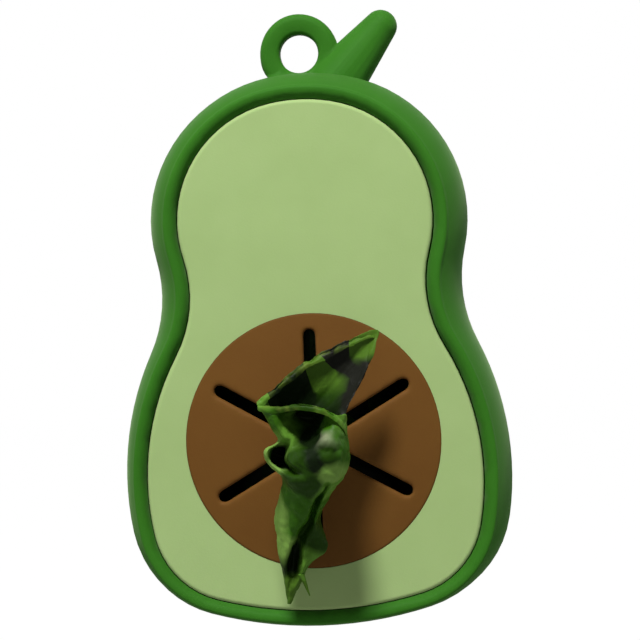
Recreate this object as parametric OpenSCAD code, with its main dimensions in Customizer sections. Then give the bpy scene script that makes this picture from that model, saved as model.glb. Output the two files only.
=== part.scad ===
// Avocado-shaped dispenser for pet waste bags.
// Frame: the origin is the centre of the hanging hole, +Z is up and -Y is the front.
// The outlines are chains of tangent arcs, given from the centre of the seed.

/* [Front face] */
// Radius of the crown of the face
face_crown_r = 27.3; // [25:0.1:30]
// Radius of the head of the face
face_head_r = 20.4; // [19.8:0.1:20.8]
// Sideways place of the centre of each head arc
face_head_x = 1.3; // [1:0.1:1.6]
// Height of the centre of the head arcs above the seed
face_head_z = 37.4; // [36.8:0.1:38]
// Radius of the hollow at the neck of the face
face_neck_r = 21.2; // [19:0.1:23]
// Radius of the flanks of the face
face_flank_r = 44.4; // [43.8:0.1:45]
// Sideways place of the centre of each flank arc
face_flank_x = -15.8; // [-16.4:0.1:-15.4]
// Height of the centre of the flank arcs
face_flank_z = -6.7; // [-7.4:0.1:-6]
// Radius of the lower corners of the face
face_corner_r = 14.4; // [13:0.1:16]
// Radius of the bottom edge of the face
face_base_r = 65; // [58:1:72]
// Height of the bottom edge of the face
face_base_z = -28.9; // [-29.3:0.1:-28.6]

/* [Shell] */
// Radius of the crown of the shell
shell_crown_r = 37.2; // [35:0.2:40]
// Radius of the head of the shell
shell_head_r = 25.2; // [24.8:0.1:25.6]
// Sideways place of the centre of each head arc
shell_head_x = 2.6; // [2.3:0.1:2.9]
// Height of the centre of the head arcs
shell_head_z = 37.7; // [37:0.1:37.7]
// Radius of the hollow at the neck of the shell
shell_neck_r = 24.1; // [22:0.1:26]
// Radius of the flanks of the shell
shell_flank_r = 51; // [50.6:0.1:51.6]
// Sideways place of the centre of each flank arc
shell_flank_x = -17.2; // [-17.6:0.1:-16.8]
// Height of the centre of the flank arcs
shell_flank_z = -6.7; // [-7.4:0.1:-6]
// Radius of the lower corners of the shell
shell_corner_r = 18.6; // [17.6:0.1:20]
// Radius of the bottom of the shell
shell_base_r = 66; // [60:1:72]
// Height of the bottom of the shell
shell_base_z = -33.1; // [-34:0.1:-32.9]
// Depth from the rim to the widest section
front_depth = 14; // [13:0.5:16]
// Depth from the widest section to the flat back
back_depth = 24; // [23.5:0.5:28]
// Thickness of the shell wall
wall = 2.4; // [2:0.1:2.8]
// Width of the flat band of the rim
rim_w = 1.8; // [1.4:0.1:2.2]
// Rounding of the outer edge of the rim
rim_r = 0.6; // [0.4:0.1:1]
// How far the back rounds in at its edge
back_round = 8; // [6:0.5:10]

/* [Hanger] */
// Height of the hanging hole above the seed
hang_z = 66.7; // [66.7:0.1:67.6]
// How far the hanging hole lies left of the middle of the body
hang_x = 0.5; // [0:0.1:1]
// Radius of the hanging hole
hole_r = 3.4; // [3:0.1:3.8]
// Width of the ring around the hole
ring_w = 3.5; // [3:0.1:4]
// Thickness of the ring, front to back
ring_t = 5; // [4:0.5:6]
// Sideways place of the tip of the stem
stem_x = 13.9; // [13:0.1:15]
// Height of the tip of the stem above the seed
stem_z = 70.9; // [70:0.1:72]
// Radius of the tip of the stem
stem_tip_r = 2.9; // [2.5:0.1:3.1]
// Radius of the foot of the stem
stem_foot_r = 5.2; // [4.8:0.1:5.5]
// Length of the stem between its two centres
stem_len = 14; // [13:0.5:16]
// Lean of the stem above the horizontal
stem_lean = 49; // [44:1:54]
// Rounding where the ring and the stem meet the body
fillet_r = 1; // [0.6:0.2:1.6]

/* [Front lid] */
// Gap between the lid and the mouth of the shell
lid_gap = 0.3; // [0.2:0.05:0.4]
// How far the face stands proud of the rim
face_proud = 0.35; // [0.2:0.05:0.5]
// Thickness of the face plate behind the rim
face_t = 2.4; // [2.2:0.1:3]
// Rounding of the front edge of the face
face_edge_r = 0.7; // [0.4:0.1:0.9]
// Thickness of the web behind the seed
web_t = 1.2; // [1:0.1:1.4]
// Thickness of the skirt of the lid
skirt_t = 1.5; // [1.2:0.1:2]
// How far the skirt reaches behind the web
skirt_reach = 1.3; // [0.8:0.1:1.5]
// Height of the retaining bead on the skirt
bead_h = 0.15; // [0.1:0.05:0.2]

/* [Seed] */
// Radius of the seed
seed_r = 21.7; // [21:0.1:22.5]
// Rise of the seed at its centre
seed_rise = 1.2; // [0.8:0.1:1.6]
// Thickness of the flexible seed
seed_t = 1.75; // [1.5:0.05:1.9]
// How far the clamped flange reaches past the seed
flange_w = 2; // [1.5:0.1:2.2]
// Thickness of the clamped flange
flange_t = 1; // [0.8:0.1:1.2]
// Number of slots
slots = 6; // [4:1:8]
// Width of each slot
slot_w = 2; // [1.6:0.1:2.4]
// Distance from the centre to the end of each slot
slot_reach = 19; // [17:0.5:19.5]
// Margin between the slot ends and the edge of the web
web_margin = 1.2; // [1:0.1:1.5]

/* [Bag roll] */
// Radius of the full roll of bags
roll_r = 14.5; // [12:0.5:14.5]
// Length of the roll
roll_len = 58; // [54:1:58]
// Outer radius of the card core
core_r = 6.5; // [5.5:0.5:7.5]
// Thickness of the card core
core_t = 1.5; // [1:0.25:2]
// How far the core stands out at each end of the roll
core_out = 0.3; // [0:0.1:0.5]
// Height of the lower end of the roll
roll_z = -28.3; // [-28.4:0.1:-27.5]
// Gap between the roll and the back of the shell
roll_gap = 1.3; // [1.2:0.1:2]

/* [Film] */
// Thickness of the web of film from the roll to the seed
web_film_t = 0.5; // [0.4:0.1:0.8]
// Gap between loose film and what it passes
film_gap = 0.3; // [0.2:0.05:0.5]
// Reach of the pulled bag in front of the seed
bag_reach = 22; // [18:1:30]

/* [Hidden] */
$fn = 64;

skin_green = "#387a29";
flesh_green = "#a6c282";
seed_brown = "#6a4724";
card_tan = "#b59a74";
film_green = "#4f7d35";

// An outline is a list of crown, head, neck, flank, corner and base values in the order above
face_line = [
    face_crown_r, face_head_r, face_head_x, face_head_z, face_neck_r, face_flank_r,
    face_flank_x, face_flank_z, face_corner_r, face_base_r, face_base_z
];
shell_line = [
    shell_crown_r, shell_head_r, shell_head_x, shell_head_z, shell_neck_r, shell_flank_r,
    shell_flank_x, shell_flank_z, shell_corner_r, shell_base_r, shell_base_z
];
// Sign of each entry when the outline grows by an offset
grow = [1, 1, 0, 0, -1, 1, 0, 0, 1, 1, -1];
// Points on the crown, head, neck, flank, corner and base arcs of one half
arc_steps = [4, 17, 8, 13, 9, 7];

rim_y = -front_depth;
face_y = rim_y - face_proud;
face_back_y = rim_y + face_t;
web_back_y = face_back_y + web_t;
lid_back_y = web_back_y + skirt_reach;
rim_out = lid_gap + rim_w;
inner_back_y = back_depth - wall;
roll_y = inner_back_y - roll_gap - roll_r;
web_hole_r = slot_reach + web_margin;
flange_r = seed_r + flange_w;
flange_y = face_back_y - flange_t;
neck_r = slot_w / 2 / sin(180 / slots) - film_gap;
tau = 0.01;

function along(a, b, t) = a + (b - a) * t;

// The two meeting points of circles about a and b, of which the one further right is taken
function meet(a, ra, b, rb) =
    let(
        d = norm(b - a),
        k = (ra * ra - rb * rb + d * d) / (2 * d),
        h = sqrt(max(ra * ra - k * k, 0)),
        mid = a + (b - a) * k / d,
        side = [-(b - a)[1], (b - a)[0]] / d
    )
    (mid + side * h)[0] > (mid - side * h)[0] ? mid + side * h : mid - side * h;

function bearing(from, to) = atan2(to[1] - from[1], to[0] - from[0]);

// Points from angle a0 to a1, leaving out the last, which starts the next arc
function arc(centre, r, a0, a1, steps) =
    [for (i = [0:steps - 1]) let(a = along(a0, a1, i / steps)) centre + r * [cos(a), sin(a)]];

function wrap(a) = a < 0 ? a + 360 : a;

// Right half of an outline, from the top centre to the bottom centre
function half_line(p) =
    let(
        head = [p[2], p[3]],
        crown = [0, p[3] - sqrt((p[0] - p[1]) * (p[0] - p[1]) - p[2] * p[2])],
        flank = [p[6], p[7]],
        base = [0, p[10] + p[9]],
        neck = meet(head, p[1] + p[4], flank, p[5] + p[4]),
        corner = meet(flank, p[5] - p[8], base, p[9] - p[8]),
        crown_end = bearing(crown, head),
        head_end = bearing(head, neck),
        flank_start = bearing(flank, neck),
        flank_end = bearing(flank, corner),
        base_start = bearing(base, corner)
    )
    concat(
        arc(crown, p[0], 90, crown_end, arc_steps[0]),
        arc(head, p[1], crown_end, head_end, arc_steps[1]),
        arc(neck, p[4], wrap(head_end + 180), wrap(flank_start + 180), arc_steps[2]),
        arc(flank, p[5], flank_start, flank_end, arc_steps[3]),
        arc(corner, p[8], flank_end, base_start, arc_steps[4]),
        arc(base, p[9], base_start, -90, arc_steps[5]),
        [[0, p[10]]]
    );

// Closed outline, grown outwards by an offset
function outline(p, out = 0) =
    let(
        half = half_line(p + grow * out),
        last = len(half) - 1
    )
    concat(half, [for (i = [last - 1:-1:1]) [-half[i][0], half[i][1]]]);

// Stations of a skin are [depth, share of the shell outline, offset]
function ring_at(s) =
    let(p = face_line * (1 - s[1]) + shell_line * s[1])
    [for (q = outline(p, s[2])) [q[0], s[0], q[1]]];

// A closed skin through its stations, with a flat cap at the first and the last
module skin(stations) {
    rings = [for (s = stations) ring_at(s)];
    count = len(rings[0]);
    last = len(rings) - 1;
    points = [for (r = rings) for (q = r) q];
    sides = [
        for (j = [0:last - 1]) for (i = [0:count - 1])
        let(a = j * count + i, b = j * count + (i + 1) % count)
        each [[a, b, b + count], [a, b + count, a + count]]
    ];
    polyhedron(points, concat(sides, strip_caps(count, last)));
}

// Caps as strips between the two halves, which keeps their triangles inside a waisted outline
function strip_caps(count, last) =
    let(half = count / 2)
    [
        for (i = [0:half - 1])
        let(a = i, b = i + 1, c = (count - i - 1) % count, d = (count - i) % count, e = last * count)
        each concat(
            i == 0 ? [[0, c, b], [e, e + b, e + c]] : [],
            i > 0 && i < half - 1 ? [[a, d, c], [a, c, b]] : [],
            i > 0 && i < half - 1 ? [[e + a, e + c, e + d], [e + a, e + b, e + c]] : [],
            i == half - 1 ? [[a, d, b], [e + a, e + b, e + d]] : []
        )
    ];

// Depth stations of the shell from the back, round the rim and into the pocket
function back_skin(start_y, end_y, round_in, out) =
    [
        for (k = [0:6])
        let(
            a = 90 * k / 6,
            lift = pow(sin(a), 0.62),
            in = 1 - pow(max(1 - pow(lift, 3.5), 0), 1 / 3.5)
        )
        [along(start_y, end_y, lift), 1, out - round_in * in]
    ];

function flare(y) = 1 - pow(min(max(-y / (front_depth - rim_r), 0), 1), 3.4);

function reverse(list) = [for (i = [len(list) - 1:-1:0]) list[i]];

function shell_stations() =
    concat(
        reverse(back_skin(0, back_depth, back_round, 0)),
        [
            for (k = [1:7])
            let(y = -(front_depth - rim_r) * sin(90 * k / 7), u = flare(y))
            [y, u, (rim_out + rim_r) * (1 - u)]
        ],
        [for (a = [30, 60, 90]) [rim_y + rim_r * (1 - sin(a)), 0, rim_out + rim_r * cos(a)]],
        [[rim_y, 0, lid_gap]],
        [[lid_back_y, 0, lid_gap]],
        [
            for (k = [1:4])
            let(u = k / 4)
            [along(lid_back_y, 0, u), sin(90 * u), along(lid_gap, -wall, sin(90 * u))]
        ],
        [for (s = back_skin(0, inner_back_y, back_round - wall, -wall)) if (s[0] > tau) s]
    );

module at_seed() {
    translate([hang_x, 0, -hang_z]) children();
}

// Turns a shape that stands on the XY plane so that it runs from the front to the back
module to_back(y) {
    translate([0, y, 0]) rotate([-90, 0, 0]) children();
}

module stem() {
    foot = [stem_x - stem_len * cos(stem_lean), 0, stem_z - stem_len * sin(stem_lean)];
    hull() {
        translate([stem_x, 0, stem_z]) sphere(r = stem_tip_r, $fn = 28);
        translate(foot) sphere(r = stem_foot_r, $fn = 28);
    }
}

// A thin web that rounds the corners between the ring, the stem and the body
module fillets() {
    inset = ring_t / 8;
    foot = [stem_x - stem_len * cos(stem_lean), stem_z - stem_len * sin(stem_lean)];
    rotate([90, 0, 0]) linear_extrude(ring_t / 2, center = true) intersection() {
        offset(r = -fillet_r, $fn = 32) offset(delta = fillet_r) {
            polygon(outline(shell_line, -inset));
            translate([-hang_x, hang_z]) circle(hole_r + ring_w - inset);
            hull() {
                translate([stem_x, stem_z]) circle(stem_tip_r - inset, $fn = 28);
                translate(foot) circle(stem_foot_r - inset, $fn = 28);
            }
        }
        translate([-20, shell_head_z + shell_head_r / 2]) square([40, 30]);
    }
}

module hang_ring() {
    half = ring_t / 2;
    edge = ring_t / 4;
    outer_r = hole_r + ring_w;
    to_back(0) rotate_extrude() polygon(concat(
        [[hole_r, -half + edge / 2], [hole_r + edge / 2, -half]],
        [for (a = [-90:22.5:0]) [outer_r - edge + edge * cos(a), -half + edge + edge * sin(a)]],
        [for (a = [0:22.5:90]) [outer_r - edge + edge * cos(a), half - edge + edge * sin(a)]],
        [[hole_r + edge / 2, half], [hole_r, half - edge / 2]]
    ));
}

module shell() {
    color(skin_green) difference() {
        union() {
            at_seed() skin(shell_stations());
            hang_ring();
            at_seed() stem();
            at_seed() fillets();
        }
        to_back(-ring_t) cylinder(r = hole_r, h = 2 * ring_t);
    }
}

module face_plate() {
    bead_y = (web_back_y + lid_back_y) / 2;
    color(flesh_green) at_seed() difference() {
        skin(concat(
            [
                [lid_back_y, 0, -bead_h],
                [bead_y, 0, 0],
                [web_back_y, 0, -bead_h]
            ],
            [
                for (a = [0:30:90])
                [face_y + face_edge_r * (1 - sin(a)), 0, -face_edge_r * (1 - cos(a))]
            ]
        ));
        to_back(web_back_y) linear_extrude(skirt_reach + 1)
            polygon([for (q = outline(face_line, -bead_h - skirt_t)) [q[0], -q[1]]]);
        to_back(face_y - 1) cylinder(r = seed_r, h = flange_y - face_y + 1 + tau);
        to_back(flange_y) cylinder(r = flange_r, h = flange_t);
        to_back(face_y - 1) cylinder(r = web_hole_r, h = lid_back_y - face_y + 2);
    }
}

module seed_diaphragm() {
    steps = 8;
    dome = [
        for (i = [0:steps])
        let(r = seed_r * i / steps)
        [r, -face_y + seed_rise * (1 - pow(r / seed_r, 2))]
    ];
    under = [
        for (i = [steps:-1:0])
        let(r = (web_hole_r - web_margin / 2) * i / steps)
        [r, -face_y - seed_t + seed_rise * (1 - pow(r / seed_r, 2))]
    ];
    flange = [
        [seed_r, -flange_y],
        [flange_r, -flange_y],
        [flange_r, -face_back_y],
        [web_hole_r - web_margin / 2, -face_back_y]
    ];
    color(seed_brown) at_seed() rotate([90, 0, 0]) difference() {
        rotate_extrude() polygon(concat(dome, flange, under));
        for (k = [0:slots - 1])
            rotate([0, 0, 90 + 360 * k / slots]) translate([0, 0, -face_back_y]) {
                translate([0, -slot_w / 2, 0]) cube([slot_reach - slot_w / 2, slot_w, front_depth]);
                translate([slot_reach - slot_w / 2, 0, 0]) cylinder(d = slot_w, h = front_depth);
            }
    }
}

module at_roll() {
    at_seed() translate([0, roll_y, roll_z]) children();
}

module roll_core() {
    color(card_tan) at_roll() translate([0, 0, -core_out]) difference() {
        cylinder(r = core_r, h = roll_len + 2 * core_out);
        translate([0, 0, -1]) cylinder(r = core_r - core_t, h = roll_len + 2 * core_out + 2);
    }
}

module bag_roll() {
    color(film_green) at_roll() difference() {
        cylinder(r = roll_r, h = roll_len);
        translate([0, 0, -1]) cylinder(r = core_r, h = roll_len + 2);
    }
}

function middle_of(ring) = [for (i = [0:2]) sum_of(ring, i) / len(ring)];

function sum_of(ring, axis, i = 0) = i == len(ring) ? 0 : ring[i][axis] + sum_of(ring, axis, i + 1);

// Skin through rings of equal length, with a fan round the middle of each end
module lofted(rings) {
    count = len(rings[0]);
    last = len(rings) - 1;
    points = concat([for (r = rings) for (q = r) q], [middle_of(rings[0]), middle_of(rings[last])]);
    sides = [
        for (j = [0:last - 1]) for (i = [0:count - 1])
        let(a = j * count + i, b = j * count + (i + 1) % count)
        each [[a, b, b + count], [a, b + count, a + count]]
    ];
    ends = len(points) - 2;
    caps = [
        for (i = [0:count - 1])
        let(n = (i + 1) % count)
        each [[ends, n, i], [ends + 1, last * count + i, last * count + n]]
    ];
    polyhedron(points, concat(sides, caps));
}

module feed_film() {
    lid_inner_y = face_y + seed_t - seed_rise;
    tip = [0, lid_inner_y + film_gap];
    reach = roll_y - tip[1];
    turn = acos((roll_r + film_gap) / reach);
    foot = [-(roll_r + film_gap) * sin(turn), roll_y - (roll_r + film_gap) * cos(turn)];
    run = norm(tip - foot);
    side = [(tip - foot)[1], -(tip - foot)[0]] / run * web_film_t / 2;
    middle = roll_z + roll_len / 2;
    stations = [0, 0.25, 0.5, 0.75, 1];
    color(film_green) at_seed() lofted([
        for (t = stations)
        let(
            c = along(foot, tip, t),
            top = along(roll_z + roll_len - 1, neck_r, pow(t, 0.8)),
            low = along(roll_z + 1, -neck_r, pow(t, 0.8))
        )
        [
            [c[0] - side[0], c[1] - side[1], low],
            [c[0] + side[0], c[1] + side[1], low],
            [c[0] + side[0], c[1] + side[1], top],
            [c[0] - side[0], c[1] - side[1], top]
        ]
    ]);
}

// Level stations of the pulled bag, for a reach of 22: height, left, right, depth at the left and
// at the right edge, how far the front and the back swell out, and the depth, place and width of a fold
bag_line = [
    [-27.2, -5, -4.6, 6.2, 6.2, 0.3, 0.3, 0, 0.5, 0.1],
    [-24.5, -5.5, -3.6, 6.4, 6.4, 0.9, 1.2, 0, 0.5, 0.1],
    [-21.2, -5.7, -1.8, 7.4, 7.2, 2, 2.2, 2.4, 0.45, 0.14],
    [-17.3, -6.1, 1.7, 8.6, 7.4, 2.6, 2.2, 2.8, 0.42, 0.12],
    [-12.4, -6.4, 1.4, 9.8, 8.8, 4.6, 2.4, 3.6, 0.7, 0.06],
    [-8.3, -5.2, 3.3, 12, 13, 4.6, 3.8, 3.4, 0.65, 0.05],
    [-6, -4.6, 4.5, 13.6, 14.8, 4.8, 5.2, 0.6, 0.62, 0.06],
    [-3.7, -6.3, 5.8, 16, 16.8, 4.8, 6.4, 4, 0.26, 0.08],
    [-0.9, -7, 6.7, 16.8, 17.4, 4.8, 6.8, 5.6, 0.24, 0.08],
    [1.3, -4.9, 6.7, 17, 17.8, 4, 6.8, 2.4, 0.42, 0.12],
    [3.6, -6.1, 6.6, 17.2, 18.2, 3.4, 6.4, 5, 0.5, 0.16],
    [5.2, -7, 6.5, 17.2, 18.3, 3.4, 6.2, 5.4, 0.5, 0.16],
    [5.8, -7.4, 6.5, 17.2, 18.2, 3.8, 6, 0, 0.5, 0.16],
    [6.7, -7.6, 6.5, 17, 17, -4.6, 5.4, 0, 0.5, 0.1],
    [8.2, -7, 7.2, 16.6, 14.8, -3, 3.9, 0, 0.5, 0.1],
    [10.4, -4.7, 8.5, 15.6, 14, -1.2, 2, 0, 0.5, 0.1],
    [14.2, 0.4, 10.3, 13.8, 12.7, -0.4, 1, 0, 0.5, 0.1],
    [17, 6, 11.2, 12.6, 12.2, -0.1, 0.7, 0, 0.5, 0.1],
    [18.7, 11.2, 11.7, 11.8, 11.8, 0.2, 0.4, 0, 0.5, 0.1]
];

// The mouth of the bag, which is open at the top
mouth_line = [
    [-1, -3, 3, 13, 13, 0.8, 0.8, 0, 0.5, 0.1],
    [2, -4.4, 4.8, 13.6, 13.8, 0.6, 1.6, 0, 0.5, 0.1],
    [4.6, -5.8, 5.2, 14.6, 14.8, 0.2, 2.6, 0, 0.5, 0.1],
    [5.8, -6.6, 5.8, 16.6, 16.8, 2.6, 4.4, 0, 0.5, 0.1],
    [8, -7, 6.2, 17, 17, 3.2, 1, 0, 0.5, 0.1]
];

// One level ring of the bag, from the right edge along the front and back again
function bag_ring(s, half = 20) =
    [
        for (k = [0:2 * half - 1])
        let(
            t = 1 - (k < half ? k : 2 * half - k) / half,
            swell = pow(sin(180 * t), 0.7) * (k < half ? s[5] : -s[6]),
            fold = k < half ? s[7] * exp(-pow((t - s[8]) / s[9], 2)) * sin(180 * t) : 0,
            depth = (along(s[3], s[4], t) + swell - fold) * bag_reach / 22
        )
        [along(s[1], s[2], (1 - cos(180 * t)) / 2), face_y - depth, s[0]]
    ];

module leading_bag() {
    neck_y = face_y + seed_t - seed_rise - film_gap;
    neck_len = seed_t + 2;
    flare_y = neck_y - neck_len + tau;
    flare_len = bag_reach * 0.43;
    color(film_green) at_seed() difference() {
        union() {
            to_back(neck_y - neck_len) cylinder(r = neck_r, h = neck_len);
            to_back(flare_y - flare_len) cylinder(r1 = 1.5 * neck_r, r2 = neck_r, h = flare_len);
            lofted([for (s = bag_line) bag_ring(s)]);
        }
        lofted([for (s = mouth_line) bag_ring(s)]);
    }
}

shell();
face_plate();
seed_diaphragm();
roll_core();
bag_roll();
feed_film();
leading_bag();
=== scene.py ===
import math

import bmesh
import bpy
from mathutils import Matrix, Vector, noise


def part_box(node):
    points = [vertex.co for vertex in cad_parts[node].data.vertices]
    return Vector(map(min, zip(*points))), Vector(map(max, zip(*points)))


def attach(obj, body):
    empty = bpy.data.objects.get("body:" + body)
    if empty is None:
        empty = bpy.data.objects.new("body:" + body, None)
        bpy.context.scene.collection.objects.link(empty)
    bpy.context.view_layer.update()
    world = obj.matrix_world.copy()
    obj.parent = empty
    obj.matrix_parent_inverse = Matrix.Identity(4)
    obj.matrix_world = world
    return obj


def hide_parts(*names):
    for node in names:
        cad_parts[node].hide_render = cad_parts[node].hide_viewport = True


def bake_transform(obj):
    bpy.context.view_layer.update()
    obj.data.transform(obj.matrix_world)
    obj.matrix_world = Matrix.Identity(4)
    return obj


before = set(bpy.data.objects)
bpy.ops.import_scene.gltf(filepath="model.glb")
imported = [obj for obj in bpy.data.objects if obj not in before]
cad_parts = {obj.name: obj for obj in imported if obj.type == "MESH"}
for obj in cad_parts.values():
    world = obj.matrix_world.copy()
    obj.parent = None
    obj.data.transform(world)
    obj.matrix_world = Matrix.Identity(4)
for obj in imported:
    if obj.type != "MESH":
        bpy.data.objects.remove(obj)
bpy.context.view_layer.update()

scene = bpy.context.scene
scene.view_settings.view_transform = "Standard"

mm = 0.001

# the places that the pieces share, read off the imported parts
seedLow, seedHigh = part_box("seed_diaphragm")
plateLow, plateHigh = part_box("face_plate")
rollLow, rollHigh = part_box("bag_roll")
faceY = plateLow[1]
seedCentre = Vector(((seedLow[0] + seedHigh[0]) / 2, faceY, (seedLow[2] + seedHigh[2]) / 2))


# ---- camera

viewPoint = {
    "imageSize": 640,
    "pixelOnFace": 0.17 * mm,     # size of one pixel at the face
    "seedPixel": (313.4, 440.9),      # where the middle of the seed shows
    "distance": 0.44,             # from the face to the camera
    "roll": 2.37,                 # degrees that the object leans to the left
    "yaw": 3.02,                  # degrees that the camera stands to the right
    "pitch": 1.75,                # degrees that the camera stands above
}


def cameraFrame(v):
    roll, yaw, pitch = (math.radians(v[k]) for k in ("roll", "yaw", "pitch"))
    across = Vector((math.cos(roll), 0, -math.sin(roll)))
    up = Vector((math.sin(roll), 0, math.cos(roll)))
    half = v["imageSize"] / 2
    aim = seedCentre - across * (v["seedPixel"][0] - half) * v["pixelOnFace"]
    aim -= up * (half - v["seedPixel"][1]) * v["pixelOnFace"]
    back = Vector((math.sin(yaw), -math.cos(yaw) * math.cos(pitch), math.sin(pitch))).normalized()
    up = (up - back * up.dot(back)).normalized()
    across = up.cross(back)
    return aim, across, up, back


aimPoint, cameraAcross, cameraUp, cameraBack = cameraFrame(viewPoint)
cameraSpot = aimPoint + cameraBack * viewPoint["distance"]
halfWidth = viewPoint["imageSize"] / 2 * viewPoint["pixelOnFace"]

cameraData = bpy.data.cameras.new("camera")
cameraData.sensor_width = 36
cameraData.lens = 18 * viewPoint["distance"] / halfWidth
cameraData.clip_start = 0.01
cameraData.clip_end = 20
camera = bpy.data.objects.new("camera", cameraData)
scene.collection.objects.link(camera)
turn = Matrix((cameraAcross, cameraUp, cameraBack)).transposed().to_4x4()
camera.matrix_world = Matrix.Translation(cameraSpot) @ turn
scene.camera = camera


# the point that shows at a pixel and lies so many mm in front of the face
def atPixel(x, y, front):
    half = viewPoint["imageSize"] / 2
    ray = -cameraBack * viewPoint["distance"]
    ray += cameraAcross * (x - half) / half * halfWidth + cameraUp * (half - y) / half * halfWidth
    depth = (faceY - front * mm - cameraSpot.y) / ray.y
    return cameraSpot + ray * depth


print("camera set")


# ---- materials

def linear(hexColour, alpha=1.0):
    parts = [int(hexColour[i:i + 2], 16) / 255 for i in (1, 3, 5)]
    return [c / 12.92 if c <= 0.04045 else ((c + 0.055) / 1.055) ** 2.4 for c in parts] + [alpha]


def addNode(tree, kind, values=None, links=None, **settings):
    node = tree.nodes.new(kind)
    for name, value in settings.items():
        setattr(node, name, value)
    for socket, value in (values or {}).items():
        node.inputs[socket].default_value = value
    for socket, source in (links or {}).items():
        tree.links.new(source, node.inputs[socket])
    return node


def addRamp(tree, source, stops, interpolation="LINEAR"):
    node = addNode(tree, "ShaderNodeValToRGB", links={"Fac": source})
    ramp = node.color_ramp
    ramp.interpolation = interpolation
    while len(ramp.elements) < len(stops):
        ramp.elements.new(0.5)
    for element, (place, colour) in zip(ramp.elements, stops):
        element.position = place
        element.color = colour
    return node


def startMaterial(name):
    material = bpy.data.materials.new(name)
    material.use_nodes = True
    tree = material.node_tree
    tree.nodes.clear()
    return material, tree


def grey(level):
    return (level, level, level, 1)


# moulded silicone rubber: matte, faintly waxy at grazing angles, and it picks up tiny specks of lint
def moulded(name, look):
    material, tree = startMaterial(name)
    place = addNode(tree, "ShaderNodeTexCoord").outputs["Object"]
    cloud = addNode(
        tree, "ShaderNodeTexNoise", {"Scale": 1 / look["cloud"], "Detail": 3}, {"Vector": place},
    )
    tone = addRamp(
        tree, cloud.outputs["Fac"], [(0.3, linear(look["dark"])), (0.7, linear(look["light"]))],
    )
    lint = addNode(tree, "ShaderNodeTexVoronoi", {"Scale": 1 / look["lintGap"]}, {"Vector": place})
    speckEdge = look["lintSize"] / look["lintGap"]
    isNear = addRamp(tree, lint.outputs["Distance"], [(0.0, grey(1)), (speckEdge, grey(0))])
    pick = addNode(tree, "ShaderNodeSeparateColor", links={"Color": lint.outputs["Color"]})
    isPicked = addNode(
        tree, "ShaderNodeMath", {1: look["lintShare"]}, {0: pick.outputs["Red"]}, operation="LESS_THAN",
    )
    speck = addNode(
        tree, "ShaderNodeMath", links={0: isNear.outputs["Color"], 1: isPicked.outputs[0]},
        operation="MULTIPLY",
    )
    colour = addNode(
        tree, "ShaderNodeMix", {"B": linear(look["lint"])},
        {"Factor": speck.outputs[0], "A": tone.outputs["Color"]}, data_type="RGBA",
    )
    grain = addNode(
        tree, "ShaderNodeTexNoise", {"Scale": 1 / look["grain"], "Detail": 4}, {"Vector": place},
    )
    bump = addNode(
        tree, "ShaderNodeBump", {"Strength": look["grainStrength"], "Distance": look["grainDepth"]},
        {"Height": grain.outputs["Fac"]},
    )
    shader = addNode(
        tree, "ShaderNodeBsdfPrincipled",
        {
            "Roughness": look["roughness"],
            "IOR": 1.41,
            "Specular IOR Level": look["specular"],
            "Sheen Weight": look["sheen"],
            "Sheen Roughness": look["sheenRoughness"],
            "Sheen Tint": linear(look["sheenTint"]),
            "Subsurface Weight": look["depthGlow"],
            "Subsurface Radius": (0.6, 1.0, 0.4),
            "Subsurface Scale": look["glowDepth"],
        },
        {"Base Color": colour.outputs["Result"], "Normal": bump.outputs["Normal"]},
    )
    addNode(tree, "ShaderNodeOutputMaterial", links={"Surface": shader.outputs["BSDF"]})
    return material


siliconeLook = {
    "cloud": 9 * mm, "lintGap": 7 * mm, "lintSize": 0.14 * mm, "lintShare": 0.25, "lint": "#d8dcc8",
    "grain": 0.35 * mm, "grainDepth": 0.05 * mm, "grainStrength": 0.35, "roughness": 0.62,
    "specular": 0.12, "sheen": 0.1, "sheenTint": "#c9d4b4", "sheenRoughness": 0.45,
    "depthGlow": 0.08, "glowDepth": 1.2 * mm,
}
greenSilicone = moulded("mouldedGreenSilicone", {
    **siliconeLook, "dark": "#33711b", "light": "#37771e", "sheen": 0.24, "sheenTint": "#b8d49c",
})
paleSilicone = moulded("mouldedPaleSilicone", {
    **siliconeLook, "dark": "#a8c37f", "light": "#acc783", "lint": "#e6ecd8", "sheen": 0.0,
})
brownSilicone = moulded("mouldedBrownSilicone", {
    **siliconeLook, "dark": "#6e491e", "light": "#724d20", "lint": "#d8c8a8", "sheenTint": "#c8a880",
})


# card tube: wound grey-brown board with faint fibres along the winding
def cardboard():
    material, tree = startMaterial("woundCardboard")
    place = addNode(tree, "ShaderNodeTexCoord").outputs["Object"]
    stretch = addNode(tree, "ShaderNodeMapping", {"Scale": (900, 900, 160)}, {"Vector": place})
    fibre = addNode(
        tree, "ShaderNodeTexNoise", {"Scale": 1, "Detail": 5}, {"Vector": stretch.outputs["Vector"]},
    )
    tone = addRamp(tree, fibre.outputs["Fac"], [(0.3, linear("#a18660")), (0.7, linear("#c2a67c"))])
    bump = addNode(
        tree, "ShaderNodeBump", {"Strength": 0.4, "Distance": 0.1 * mm}, {"Height": fibre.outputs["Fac"]},
    )
    shader = addNode(
        tree, "ShaderNodeBsdfPrincipled", {"Roughness": 0.85, "Specular IOR Level": 0.3},
        {"Base Color": tone.outputs["Color"], "Normal": bump.outputs["Normal"]},
    )
    addNode(tree, "ShaderNodeOutputMaterial", links={"Surface": shader.outputs["BSDF"]})
    return material


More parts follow.
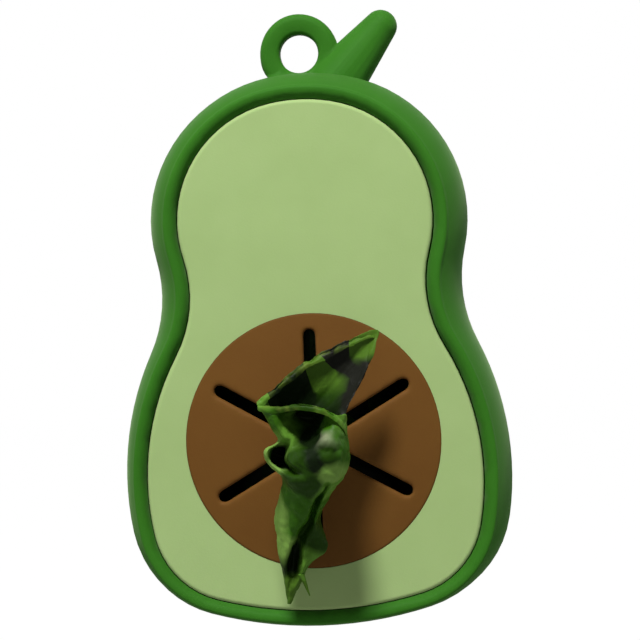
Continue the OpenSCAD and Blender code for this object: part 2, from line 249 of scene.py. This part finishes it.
# blown polythene film: thin, soft gloss, with angular camouflage patches whose tones are partly print and
# partly painted light and shade, paler along the torn edge and the hem, partly as stretched film and partly
# as painted light where the edge catches the lamp
filmLook = {
    "roughness": 0.42, "specular": 0.08, "wander": 0.5, "wanderScale": 300, "tornAndLitEdge": "#62792c",
    "wrinkle": 2.2 * mm, "wrinkleDepth": 0.22 * mm, "fine": 0.7 * mm, "fineDepth": 0.05 * mm,
    "bumpStrength": 0.5,
    "softEdge": 2.2 * mm, "sharpEdge": 0.08 * mm, "rollPatch": 9 * mm, "paintedShadeOnRoll": 0.5,
    "tones": {
        "coal": "#1c1d17", "night": "#101d08", "deep": "#244208", "leaf": "#36640f", "moss": "#4f7322",
        # the palest, cream tone is a painted highlight where the thin film shines
        "fold": "#5d8b2e", "panel": "#7ca34a", "paintedHighlight": "#8e9675",
    },
    "rollTones": ["coal", "night", "deep", "leaf", "moss"],
    "inside": "#0d1409",
}

# middles of the patches on the pulled bag: pixel across and down, mm in front of the face, tone. The tones
# are partly the camouflage print and partly painted light and shade: the dark tones in the recess under the
# lip and in the hollow of the loop are painted shade, the pale panel tone on the loop's rim is painted
# light, and the cream spot under the lip is a painted highlight
patches = [
    (369, 342, 12, "moss"), (360, 350, 12.6, "moss"), (342, 350, 12.6, "coal"), (353, 364, 13, "coal"),
    (364, 366, 13, "coal"), (357, 384, 14, "coal"), (350, 400, 14.2, "coal"), (320, 374, 14, "moss"),
    (336, 379, 14.4, "moss"), (332, 393, 14.6, "deep"), (303, 381, 14.4, "night"), (283, 396, 15.4, "night"),
    (310, 402, 15, "night"), (333, 406, 15, "night"), (262, 404, 17.2, "fold"), (270, 416, 18, "leaf"),
    (290, 408, 20, "deep"), (312, 408, 21, "deep"), (325, 412, 21, "leaf"), (341, 420, 20, "fold"),
    (293, 431, 17.6, "fold"), (307, 438, 17, "night"), (320, 436, 20.6, "night"),
    (329.4, 436, 21.4, "paintedHighlight"), (336, 435, 21.4, "leaf"), (330, 450, 22, "deep"), (330, 425, 20.6, "leaf"),
    (316, 458, 21, "night"),
    (344, 448, 20, "leaf"), (335, 474, 20.4, "panel"), (268, 457, 17.4, "panel"), (270, 450, 17.4, "panel"),
    (279, 462, 12, "night"), (299, 464, 20, "deep"), (300, 480, 19, "deep"), (313, 486, 19, "deep"),
    (297, 504, 16, "leaf"), (279, 512, 11, "panel"), (281, 548, 10, "panel"), (299, 524, 14, "leaf"),
    (315, 508, 14, "leaf"), (330, 488, 17.6, "fold"), (317, 536, 9.5, "deep"), (294, 556, 8, "night"),
    (305, 560, 9.4, "fold"), (291, 592, 7, "moss"),
]


def plainColour(tree, hue):
    return addNode(tree, "ShaderNodeMix", {"Factor": 0, "A": hue, "B": hue}, data_type="RGBA")


# the tone of the nearest patch, which blurs into the next where the film is creased and stays
# crisp on the smooth flap
def nearestTone(tree, place):
    best = colour = None
    soft = addNode(tree, "ShaderNodeAttribute", attribute_name="soft").outputs["Fac"]
    blur = addNode(
        tree, "ShaderNodeMath", {1: filmLook["softEdge"], 2: filmLook["sharpEdge"]}, {0: soft},
        operation="MULTIPLY_ADD",
    ).outputs[0]
    for x, y, front, tone in patches:
        gap = addNode(
            tree, "ShaderNodeVectorMath", {1: tuple(atPixel(x, y, front))}, {0: place},
            operation="DISTANCE",
        ).outputs["Value"]
        hue = linear(filmLook["tones"][tone])
        if best is None:
            best, colour = gap, plainColour(tree, hue)
            continue
        lead = addNode(tree, "ShaderNodeMath", links={0: best, 1: gap}, operation="SUBTRACT")
        share = addNode(tree, "ShaderNodeMath", links={0: lead.outputs[0], 1: blur}, operation="DIVIDE")
        closer = addNode(
            tree, "ShaderNodeMath", {1: 0.5}, {0: share.outputs[0]}, operation="ADD", use_clamp=True,
        )
        colour = addNode(
            tree, "ShaderNodeMix", {"B": hue},
            {"Factor": closer.outputs[0], "A": colour.outputs["Result"]}, data_type="RGBA",
        )
        best = addNode(tree, "ShaderNodeMath", links={0: gap, 1: best}, operation="MINIMUM").outputs[0]
    return colour.outputs["Result"]


# a tone picked at random for each patch, every one darkened alike by a painted shade that stands for the
# dark inside of the dispenser
def randomTone(tree, place):
    cells = addNode(
        tree, "ShaderNodeTexVoronoi", {"Scale": 1 / filmLook["rollPatch"], "Randomness": 1.0},
        {"Vector": place}, distance="CHEBYCHEV",
    )
    pick = addNode(tree, "ShaderNodeSeparateColor", links={"Color": cells.outputs["Color"]})
    names = filmLook["rollTones"]
    stops = []
    for i, name in enumerate(names):
        shaded = [c * filmLook["paintedShadeOnRoll"] for c in linear(filmLook["tones"][name])]
        stops.append((i / len(names), shaded))
    return addRamp(tree, pick.outputs["Green"], stops, "CONSTANT").outputs["Color"]


# one near-black colour for the web of film: painted shade for the dark inside of the dispenser
def insideTone(tree, place):
    return plainColour(tree, linear(filmLook["inside"])).outputs["Result"]


def film(name, toneOf):
    material, tree = startMaterial(name)
    place = addNode(tree, "ShaderNodeTexCoord").outputs["Object"]
    wander = addNode(
        tree, "ShaderNodeTexNoise", {"Scale": filmLook["wanderScale"], "Detail": 1}, {"Vector": place},
    )
    shifted = addNode(
        tree, "ShaderNodeVectorMath", {"Scale": filmLook["wander"] * mm}, {0: wander.outputs["Color"]},
        operation="SCALE",
    )
    moved = addNode(
        tree, "ShaderNodeVectorMath", links={0: place, 1: shifted.outputs[0]}, operation="ADD",
    )
    tone = toneOf(tree, moved.outputs[0])
    # paler colour along the torn edge and the hem: stretched film, and painted light where the edge catches
    # the lamp
    tornAndLitEdge = addNode(tree, "ShaderNodeAttribute", attribute_name="tornAndLitEdge")
    colour = addNode(
        tree, "ShaderNodeMix", {"B": linear(filmLook["tornAndLitEdge"])},
        {"Factor": tornAndLitEdge.outputs["Fac"], "A": tone}, data_type="RGBA",
    )
    wrinkle = addNode(
        tree, "ShaderNodeTexNoise",
        {"Scale": 1 / filmLook["wrinkle"], "Detail": 2, "Distortion": 1.2}, {"Vector": place},
    )
    fine = addNode(
        tree, "ShaderNodeTexNoise", {"Scale": 1 / filmLook["fine"], "Detail": 2}, {"Vector": place},
    )
    bump = addNode(
        tree, "ShaderNodeBump", {"Strength": filmLook["bumpStrength"], "Distance": filmLook["wrinkleDepth"]},
        {"Height": wrinkle.outputs["Fac"]},
    )
    fineBump = addNode(
        tree, "ShaderNodeBump", {"Strength": filmLook["bumpStrength"], "Distance": filmLook["fineDepth"]},
        {"Height": fine.outputs["Fac"], "Normal": bump.outputs["Normal"]},
    )
    shader = addNode(
        tree, "ShaderNodeBsdfPrincipled",
        {"Roughness": filmLook["roughness"], "IOR": 1.5, "Specular IOR Level": filmLook["specular"]},
        {"Base Color": colour.outputs["Result"], "Normal": fineBump.outputs["Normal"]},
    )
    addNode(tree, "ShaderNodeOutputMaterial", links={"Surface": shader.outputs["BSDF"]})
    return material


filmOnRoll = film("blownFilmOnRoll", randomTone)
filmOnBag = film("blownFilmOnBag", nearestTone)
filmPaintedShade = film("blownFilmPaintedShade", insideTone)
card = cardboard()
print("materials made")


# ---- helpers for meshes

def finishPiece(name, bm, material, smoothAngle=40):
    mesh = bpy.data.meshes.new(name)
    bm.to_mesh(mesh)
    bm.free()
    mesh.shade_smooth()
    mesh.set_sharp_from_angle(angle=math.radians(smoothAngle))
    mesh.materials.append(material)
    piece = bpy.data.objects.new(name, mesh)
    scene.collection.objects.link(piece)
    return piece


def smoothShare(value, low, high):
    t = max(0, min(1, (value - low) / (high - low)))
    return t * t * (3 - 2 * t)


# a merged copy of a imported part, which can be smoothed
def mergedCopy(node):
    bm = bmesh.new()
    bm.from_mesh(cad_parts[node].data)
    bmesh.ops.remove_doubles(bm, verts=bm.verts, dist=0.002 * mm)
    bmesh.ops.dissolve_degenerate(bm, edges=bm.edges, dist=0.002 * mm)
    return bm


def applyModifiers(piece):
    depsgraph = bpy.context.evaluated_depsgraph_get()
    mesh = bpy.data.meshes.new_from_object(piece.evaluated_get(depsgraph))
    old = piece.data
    piece.modifiers.clear()
    piece.data = mesh
    bpy.data.meshes.remove(old)


# gives a sheet its thickness, half on each side
def thicken(piece, thickness):
    wall = piece.modifiers.new("filmThickness", "SOLIDIFY")
    wall.thickness = thickness
    wall.offset = 0
    applyModifiers(piece)
    return piece


# faces between neighbouring columns of vertices, with the place on the flat sheet where a cell has a size
def joinGrid(bm, grid, closed, cell=None):
    flat = bm.loops.layers.uv.new("flat") if cell else None
    for i in range(len(grid) - (not closed)):
        k = (i + 1) % len(grid)
        for j in range(len(grid[0]) - 1):
            face = bm.faces.new((grid[i][j], grid[k][j], grid[k][j + 1], grid[i][j + 1]))
            if cell:
                for loop, (u, v) in zip(face.loops, ((i, j), (i + 1, j), (i + 1, j + 1), (i, j + 1))):
                    loop[flat].uv = (u * cell[0], v * cell[1])


# ---- shell

# the moulding draws in a little on its left and underneath, behind the rim
shellSpec = {
    "smoothAngle": 38,
    "drawFrom": 1.5 * mm, "drawFull": 6 * mm,         # how far behind the face it starts and is full
    "left": 0.4 * mm, "leftReach": 20 * mm,
    "below": 0.5 * mm, "belowReach": (9 * mm, 29 * mm),
    "crown": 0.3 * mm, "crownReach": (30 * mm, 52 * mm),
    "headMiddle": 15 * mm,                            # above the seed
}


def drawnIn(bm):
    bm.normal_update()
    for v in bm.verts:
        side = v.co - seedCentre
        head = shellSpec["headMiddle"]
        outward = Vector((side.x, 0, side.z - head * (side.z > head))).normalized()
        share = smoothShare(v.co.y - faceY, shellSpec["drawFrom"], shellSpec["drawFull"])
        share *= smoothShare(v.normal.dot(outward), -0.3, 0.1)
        left = smoothShare(-side.x, 0, shellSpec["leftReach"])
        v.co.x += shellSpec["left"] * left * share
        v.co.z += shellSpec["below"] * smoothShare(-side.z, *shellSpec["belowReach"]) * share
        v.co.z -= shellSpec["crown"] * left * smoothShare(side.z, *shellSpec["crownReach"]) * share
    return bm


shell = finishPiece("shellSkin", drawnIn(mergedCopy("shell")), greenSilicone, shellSpec["smoothAngle"])
normals = shell.modifiers.new("evenShading", "WEIGHTED_NORMAL")
normals.keep_sharp = True
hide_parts("shell")
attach(shell, "shell")
print("shell", len(shell.data.polygons))


# ---- face plate

plateSpec = {"smoothAngle": 38, "pressedOut": 1.004}      # the soft plate fills its seat

bm = mergedCopy("face_plate")
middle = Vector(((plateLow[0] + plateHigh[0]) / 2, 0, (plateLow[2] + plateHigh[2]) / 2))
spread = (plateSpec["pressedOut"], 1, plateSpec["pressedOut"])
bmesh.ops.scale(bm, verts=bm.verts, vec=spread, space=Matrix.Translation(-middle))
plate = finishPiece("facePlate", bm, paleSilicone, plateSpec["smoothAngle"])
normals = plate.modifiers.new("evenShading", "WEIGHTED_NORMAL")
normals.keep_sharp = True
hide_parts("face_plate")
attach(plate, "front")
print("face plate", len(plate.data.polygons))


# ---- seed

seedSpec = {"pressedOut": 1.005, "voxel": 0.2 * mm, "passes": 26, "softRadius": 20.6 * mm}

bm = mergedCopy("seed_diaphragm")
spread = (seedSpec["pressedOut"], 1, seedSpec["pressedOut"])
bmesh.ops.scale(bm, verts=bm.verts, vec=spread, space=Matrix.Translation(-seedCentre))
seed = finishPiece("slottedSeed", bm, brownSilicone, 180)
remesh = seed.modifiers.new("even", "REMESH")
remesh.mode = "VOXEL"
remesh.voxel_size = seedSpec["voxel"]
applyModifiers(seed)
bm = bmesh.new()
bm.from_mesh(seed.data)
soft = [
    v for v in bm.verts
    if math.hypot(v.co.x - seedCentre.x, v.co.z - seedCentre.z) < seedSpec["softRadius"]
]
for _ in range(seedSpec["passes"]):
    bmesh.ops.smooth_vert(bm, verts=soft, factor=0.5, use_axis_x=True, use_axis_y=True, use_axis_z=True)
bm.to_mesh(seed.data)
bm.free()
seed.data.shade_smooth()
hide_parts("seed_diaphragm")
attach(seed, "front")
print("seed", len(seed.data.polygons))


# ---- roll of bags

rollSpec = {"layers": 16, "inner": 6.5 * mm, "groove": 0.25 * mm, "edge": 0.6 * mm, "steps": 96}


def rollOfBags():
    low, high = rollLow[2], rollHigh[2]
    centre = Vector(((rollLow[0] + rollHigh[0]) / 2, (rollLow[1] + rollHigh[1]) / 2, 0))
    outer = (rollHigh[0] - rollLow[0]) / 2
    inner = rollSpec["inner"]
    gap = (outer - inner) / rollSpec["layers"]
    profile = [(inner, low + rollSpec["groove"])]
    for i in range(rollSpec["layers"]):
        profile += [(inner + gap * (i + 0.5), low), (inner + gap * (i + 0.95), low + rollSpec["groove"])]
    profile += [(outer, low + rollSpec["edge"]), (outer, high - rollSpec["edge"])]
    for i in reversed(range(rollSpec["layers"])):
        profile += [
            (inner + gap * (i + 0.95), high - rollSpec["groove"]), (inner + gap * (i + 0.5), high),
        ]
    profile += [(inner, high - rollSpec["groove"])]
    bm = bmesh.new()
    points = [bm.verts.new(centre + Vector((r, 0, z))) for r, z in profile]
    edges = [bm.edges.new((a, b)) for a, b in zip(points, points[1:] + points[:1])]
    bmesh.ops.spin(
        bm, geom=points + edges, cent=centre, axis=(0, 0, 1), angle=math.tau,
        steps=rollSpec["steps"], use_merge=True,
    )
    bmesh.ops.recalc_face_normals(bm, faces=bm.faces)
    return finishPiece("rollOfBags", bm, filmOnRoll, 30)


roll = rollOfBags()
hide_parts("bag_roll")
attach(roll, "roll")
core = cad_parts["roll_core"]
core.data.materials.clear()
core.data.materials.append(card)
print("roll", len(roll.data.polygons))


# ---- bag pulled out through the seed

# rings of the gathered bag from its tail to its mouth: a height in pixels, then eleven points along
# the front as (pixel, mm in front of the face), from left to right, then the depth of the back
bagSpec = {
    "rings": [
        (604, [(287.6, 6.1), (288, 6.2), (288.4, 6.3), (288.8, 6.4), (289.2, 6.4), (289.6, 6.4), (290, 6.3),
               (290.3, 6.3), (290.6, 6.2), (290.9, 6.2), (291.2, 6.1)], 5.6),
        (592, [(285.8, 6.3), (286.6, 6.8), (287.6, 7.1), (288.8, 7.2), (290, 7.3), (291.2, 7.2),
               (292.3, 7.1),
               (293.4, 7), (294.5, 6.8), (295.5, 6.6), (296.4, 6.3)], 5.2),
        (579, [(283.8, 6.8), (285.4, 7.9), (287.2, 8.2), (289, 7.6), (291.5, 7.2), (294, 7.2), (296.5, 7.6),
               (298.6, 8.1), (300.4, 8.2), (302, 7.8), (303.2, 6.9)], 5),
        (566, [(281.6, 7.6), (284, 9.1), (286.2, 9), (288.4, 7.2), (292, 6.4), (296, 6.4), (299.4, 7.4),
               (301.6, 9), (304, 9.6), (306.4, 8.8), (308.4, 7)], 5),
        (550, [(278.6, 8.6), (282.6, 10.4), (287, 11), (290.2, 10.6), (292.6, 7.6), (298, 7.4), (302, 8.8),
               (304.6, 10.2), (308, 9.2), (316, 8.8), (326, 7.4)], 5.8),
        (535, [(276.4, 9), (282, 11), (287.4, 11.6), (291.4, 12.2), (296, 11.8), (298.4, 8.8), (303, 8.8),
               (307.6, 9.8), (313, 10), (319.4, 9.4), (325.4, 7.8)], 6.4),
        (517, [(274.3, 9.8), (281, 12), (287.6, 13), (294, 14.2), (301, 14.8), (307, 14.2), (309.4, 10.4),
               (313.4, 11), (316.2, 12.6), (318.4, 10.6), (320, 8.8)], 7.4),
        (500, [(278, 11.8), (284, 14), (288.5, 15), (296, 16.4), (305, 17.2), (313, 16.8), (315.6, 12.8),
               (319, 13.6), (322, 15.8), (325.2, 15.2), (328, 12.6)], 8.8),
        (488, [(281, 13.4), (286, 15.8), (290, 17), (300, 18.6), (312, 19.2), (322, 18.8), (325, 16.4),
               (327.6, 17.4), (330, 17.8), (332.6, 16.8), (335, 14.6)], 9.6),
        (476, [(281, 15), (285, 17.4), (288.4, 18.6), (296, 19.6), (306, 20.4), (317, 20.8), (326, 21),
               (333, 20.8), (338.4, 19.8), (342, 18.4), (344.4, 16.4)], 10),
        (462, [(267.2, 16), (269.8, 17.2), (273, 12.6), (284.4, 11.6), (287.8, 18.8), (295, 20.2), (305, 21),
               (317, 21.8), (330, 22.2), (341.4, 20.6), (348.4, 17)], 10),
        (450, [(265.8, 16.8), (268.6, 18), (271.6, 12.8), (284.4, 11.8), (288.2, 18.4),
               (296, 19.4), (307, 20.6),
               (319, 22), (332, 22.4), (343, 20.8), (349.4, 17.6)], 10.2),
        (440, [(278.6, 16), (280, 17.4), (282.4, 18.2), (286.4, 18.8), (293, 18.6), (302, 17.6),
               (309.6, 18.4),
               (320, 21.8), (331, 22.4), (342, 20.8), (348.4, 17.8)], 10.6),
        (426, [(270, 17), (273, 18.8), (279, 19.4), (286.4, 18), (296, 16.4), (307, 15.4), (317, 16.4),
               (325, 19.6), (333, 21.2), (341, 20.4), (346.4, 18.2)], 11),
        (415, [(264.6, 17.2), (269, 19), (277, 19.6), (286, 17.8), (296, 15.2), (307, 14.8), (317, 15.6),
               (326, 18.2), (334, 20.2), (341, 20.2), (345.8, 18.4)], 11.4),
    ],
    "lip": [(258, 405, 17), (269, 408, 18.6), (278, 408.4, 19.4), (287, 407, 20.2), (298, 405.4, 21),
            (309, 406, 21.4), (320, 409, 21.6), (329, 412.6, 21.4), (337, 417.6, 20.8), (343, 424.6, 19.8),
            (346.2, 432, 18.4)],
    "tear": [(344.4, 419, 15.6), (348, 404, 14.6), (357, 387, 13.6), (364, 371, 13), (370, 351, 12.4),
             (373.6, 336, 11.8), (353, 341, 12.4), (331, 351.5, 13), (309, 363.5, 13.8), (292, 376, 14.6),
             (277, 388, 15.6), (265, 398, 16.4)],
    "hem": [(-0.3, 0.1), (-0.65, -0.2), (-0.6, -0.75)],
    "hemShare": [1] * 10 + [0.7, 0.2, 0.02, 0.02, 0.02, 0.05, 0.4, 1, 1.1, 1.1, 1.1, 1, 1],
    "around": 230, "along": 170, "flat": (0.030, 0.0461),
    "tearFrom": (15.5, 17), "cleanFrom": (10.5, 11.5), "cleanTo": (15.2, 16),      # points along the mouth
    "crease": 0.16 * mm, "frill": 0.5 * mm, "thickness": 0.12 * mm,
    "spike": ((301.5, 574, 8.4), (309.7, 595.5, 7.2), 0.45 * mm, 0.06 * mm),    # ends and radii
}


def backPoints(front, depth, count=12):
    left, right = front[0], front[-1]
    points = []
    for i in range(count):
        t = (i + 1) / (count + 1)
        bow = math.sin(math.pi * t) ** 0.6
        edge = right[2] + (left[2] - right[2]) * t
        points.append((right[0] + (left[0] - right[0]) * t, right[1] + (left[1] - right[1]) * t,
                       edge + (depth - edge) * bow))
    return points


# an even run of points on a smooth curve through the given ones
def smoothThrough(points, count, closed):
    n = len(points) if closed else len(points) - 1
    result = []
    for i in range(count):
        s = i / count * n if closed else min(i / (count - 1) * n, n - 1e-6)
        k, t = int(s), s - int(s)
        if closed:
            a, b, c, d = (points[(k + j) % n] for j in (-1, 0, 1, 2))
        else:
            a, b, c, d = (points[min(max(k + j, 0), n)] for j in (-1, 0, 1, 2))
        result.append(0.5 * (2 * b + (c - a) * t + (2 * a - 5 * b + 4 * c - d) * t ** 2
                             + (3 * b - 3 * c + d - a) * t ** 3))
    return result


def filmArea(piece):
    return round(sum(f.area for f in piece.data.polygons) / 2 / mm ** 2)


def leadingBag():
    spec = bagSpec
    rings = []
    for y, front, depth in spec["rings"]:
        front = [(x, y, d) for x, d in front]
        rings.append([atPixel(*p) for p in front + backPoints(front, depth)])
    mouth = [atPixel(*p) for p in spec["lip"] + spec["tear"]]
    rings.append(mouth)
    for forward, rise in spec["hem"]:
        step = Vector((0, forward, rise)) * mm
        rings.append([p + step * share for p, share in zip(mouth, spec["hemShare"])])
    around, along = spec["around"], spec["along"]
    loops = [smoothThrough(ring, around, True) for ring in rings]
    columns = [smoothThrough([loop[i] for loop in loops], along, False) for i in range(around)]
    bm = bmesh.new()
    tornAndLitEdge = bm.verts.layers.float.new("tornAndLitEdge")
    soft = bm.verts.layers.float.new("soft")
    grid = [[bm.verts.new(p) for p in column] for column in columns]
    joinGrid(bm, grid, closed=True)
    bmesh.ops.recalc_face_normals(bm, faces=bm.faces)
    bm.normal_update()
    hemStart = (len(spec["rings"]) + 0.3) / (len(rings) - 1) * (along - 1)
    shifts = {}
    for i in range(around):
        spot = i / around * len(mouth)
        isTear = smoothShare(spot, *spec["tearFrom"])
        clean = smoothShare(spot, *spec["cleanFrom"]) - smoothShare(spot, *spec["cleanTo"])
        for j in range(along):
            v = grid[i][j]
            p = v.co / mm
            crease = abs(noise.noise(p * 0.3 + Vector((5, 1, 7)))) * 2 - 0.5
            fine = abs(noise.noise(p * 0.8 + Vector((2, 9, 4)))) * 2 - 0.5
            hem = smoothShare(j, hemStart - 6, hemStart + 4)
            wave = noise.noise(p * 0.5 + Vector((3, 2, 8))) + 0.5 * noise.noise(p * 1.1)
            shifts[v] = v.normal * (spec["crease"] * (crease * 1.4 + fine * 0.6)) + Vector((
                0, -0.4, 0.9)) * spec["frill"] * hem * wave * (0.35 + 0.65 * isTear)
            v[soft] = 1 - smoothShare(j, hemStart - 16, hemStart - 6) * isTear
            # share of the paler edge colour: stretched film, and painted light along the lit edge of the hem
            v[tornAndLitEdge] = max(0, min(1, hem * (1 - clean) * (0.05 + 1.1 * wave)))
    for v, shift in shifts.items():
        v.co += shift
    start, end = (atPixel(*p) for p in spec["spike"][:2])
    along = (end - start).to_track_quat("Z", "Y").to_matrix().to_4x4()
    bmesh.ops.create_cone(
        bm, cap_ends=True, segments=8, radius1=spec["spike"][2], radius2=spec["spike"][3],
        depth=(end - start).length, matrix=Matrix.Translation((start + end) / 2) @ along,
    )
    return thicken(finishPiece("leadingBag", bm, filmOnBag, 60), spec["thickness"])


bag = leadingBag()
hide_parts("leading_bag")
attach(bag, "bag")
print("bag", len(bag.data.polygons), "film area mm2", filmArea(bag))


# gathered film from the middle of the seed to the bag, which draws out as the bag is pulled
neckSpec = {
    "flat": (0.016, 0.020), "cell": (60 / 56 * mm, 20 / 40 * mm), "folds": 7, "around": 56, "along": 40,
    "start": 1.2 * mm, "reach": 13 * mm, "root": 1.1 * mm, "top": 4.2 * mm, "thickness": 0.12 * mm,
}


def bagNeck():
    bm = bmesh.new()
    around, along = neckSpec["around"], neckSpec["along"]
    grid = []
    for i in range(around):
        column = []
        a = math.tau * i / around
        for j in range(along):
            t = j / (along - 1)
            r = neckSpec["root"] + (neckSpec["top"] - neckSpec["root"]) * t ** 1.6
            fold = (0.12 + 0.2 * t) * math.cos(neckSpec["folds"] * a + 2 * t)
            r *= 1 + fold + 0.06 * math.sin(3 * a + 5 * t)
            y = neckSpec["start"] - (neckSpec["start"] + neckSpec["reach"]) * t
            column.append(bm.verts.new(seedCentre + Vector((r * math.cos(a), y, r * math.sin(a)))))
        grid.append(column)
    joinGrid(bm, grid, closed=True, cell=neckSpec["cell"])
    bmesh.ops.recalc_face_normals(bm, faces=bm.faces)
    return thicken(finishPiece("bagNeck", bm, filmOnBag, 50), neckSpec["thickness"])


neck = bagNeck()
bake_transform(neck)
print("bag neck", len(neck.data.polygons), "film area mm2", filmArea(neck))


# web of film from the roll to the middle of the seed
webSpec = {
    "flat": (0.056, 0.0104), "area": 0.00046, "cell": (2 * mm, 0.4 * mm), "across": 30, "along": 40,
    "endHalf": 1.4 * mm, "pleats": 5, "pleatDepth": 0.8 * mm, "thickness": 0.2 * mm,
}


def filmWeb():
    low, high = (Vector(corner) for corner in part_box("feed_film"))
    bm = bmesh.new()
    grid = []
    for i in range(webSpec["across"]):
        s = i / (webSpec["across"] - 1) * 2 - 1
        column = []
        for j in range(webSpec["along"]):
            t = j / (webSpec["along"] - 1)
            half = (high.z - low.z) / 2 * (1 - t) ** 0.8 + webSpec["endHalf"] * t
            pleat = webSpec["pleatDepth"] * math.sin(math.pi * webSpec["pleats"] * s) * t * (1 - 0.4 * t)
            column.append(bm.verts.new((
                low.x + (high.x - low.x) * t + pleat * 0.6,
                high.y + (low.y - high.y) * t + pleat * 0.4,
                (low.z + high.z) / 2 + half * s)))
        grid.append(column)
    joinGrid(bm, grid, closed=False, cell=webSpec["cell"])
    # the web's film is near black, a painted shade
    return thicken(finishPiece("filmWeb", bm, filmPaintedShade, 60), webSpec["thickness"])


web = filmWeb()
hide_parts("feed_film")
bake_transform(web)
print("film web", len(web.data.polygons), "film area mm2", filmArea(web))


# ---- studio

studio = {
    "floor": -0.17, "floorHalf": 1.6,
    "key": {"spot": (-0.06, -0.46, 0.65), "size": 0.15, "power": 7.2},
    "leftFill": {"spot": (-0.6, -0.15, 0.0), "size": 0.5, "power": 0.6},
    "rightFill": {"spot": (0.6, -0.15, 0.0), "size": 0.5, "power": 0.3},
    "skyLevel": 0.06, "paper": "#a8a8a6", "paperGlow": 1.06, "glowShare": 0.94,
}


def areaLamp(name, spec):
    lamp = bpy.data.lights.new(name, "AREA")
    lamp.shape = "DISK"
    lamp.size = spec["size"]
    lamp.energy = spec["power"]
    holder = bpy.data.objects.new(name, lamp)
    scene.collection.objects.link(holder)
    spot = Vector(spec["spot"]) + aimPoint
    aim = (aimPoint - spot).to_track_quat("-Z", "Y").to_matrix().to_4x4()
    holder.matrix_world = Matrix.Translation(spot) @ aim


areaLamp("keyLamp", studio["key"])
areaLamp("leftFillLamp", studio["leftFill"])
areaLamp("rightFillLamp", studio["rightFill"])

world = bpy.data.worlds.new("studio")
scene.world = world
world.use_nodes = True
tree = world.node_tree
tree.nodes.clear()
path = addNode(tree, "ShaderNodeLightPath")
seen = path.outputs["Is Camera Ray"]
for ray in ("Is Glossy Ray", "Is Transmission Ray"):
    seen = addNode(
        tree, "ShaderNodeMath", links={0: seen, 1: path.outputs[ray]}, operation="MAXIMUM",
    ).outputs[0]
ambient = addNode(tree, "ShaderNodeBackground", {"Color": grey(1), "Strength": studio["skyLevel"]})
backdrop = addNode(tree, "ShaderNodeBackground", {"Color": grey(1), "Strength": 1})
choose = addNode(
    tree, "ShaderNodeMixShader", links={0: seen, 1: ambient.outputs[0], 2: backdrop.outputs[0]},
)
addNode(tree, "ShaderNodeOutputWorld", links={"Surface": choose.outputs[0]})

# matt pale paper, which shows white to the camera and keeps a faint shadow
paper, tree = startMaterial("mattPaper")
path = addNode(tree, "ShaderNodeLightPath")
matt = addNode(tree, "ShaderNodeBsdfDiffuse", {"Color": linear(studio["paper"])})
glow = addNode(tree, "ShaderNodeEmission", {"Color": grey(1), "Strength": studio["paperGlow"]})
share = addNode(
    tree, "ShaderNodeMath", {1: studio["glowShare"]}, {0: path.outputs["Is Camera Ray"]},
    operation="MULTIPLY",
)
both = addNode(
    tree, "ShaderNodeMixShader", links={0: share.outputs[0], 1: matt.outputs[0], 2: glow.outputs[0]},
)
addNode(tree, "ShaderNodeOutputMaterial", links={"Surface": both.outputs[0]})

bm = bmesh.new()
bmesh.ops.create_grid(
    bm, x_segments=1, y_segments=1, size=studio["floorHalf"],
    matrix=Matrix.Translation((0, 0, studio["floor"])),
)
floor = finishPiece("floor", bm, paper)
print("studio set")
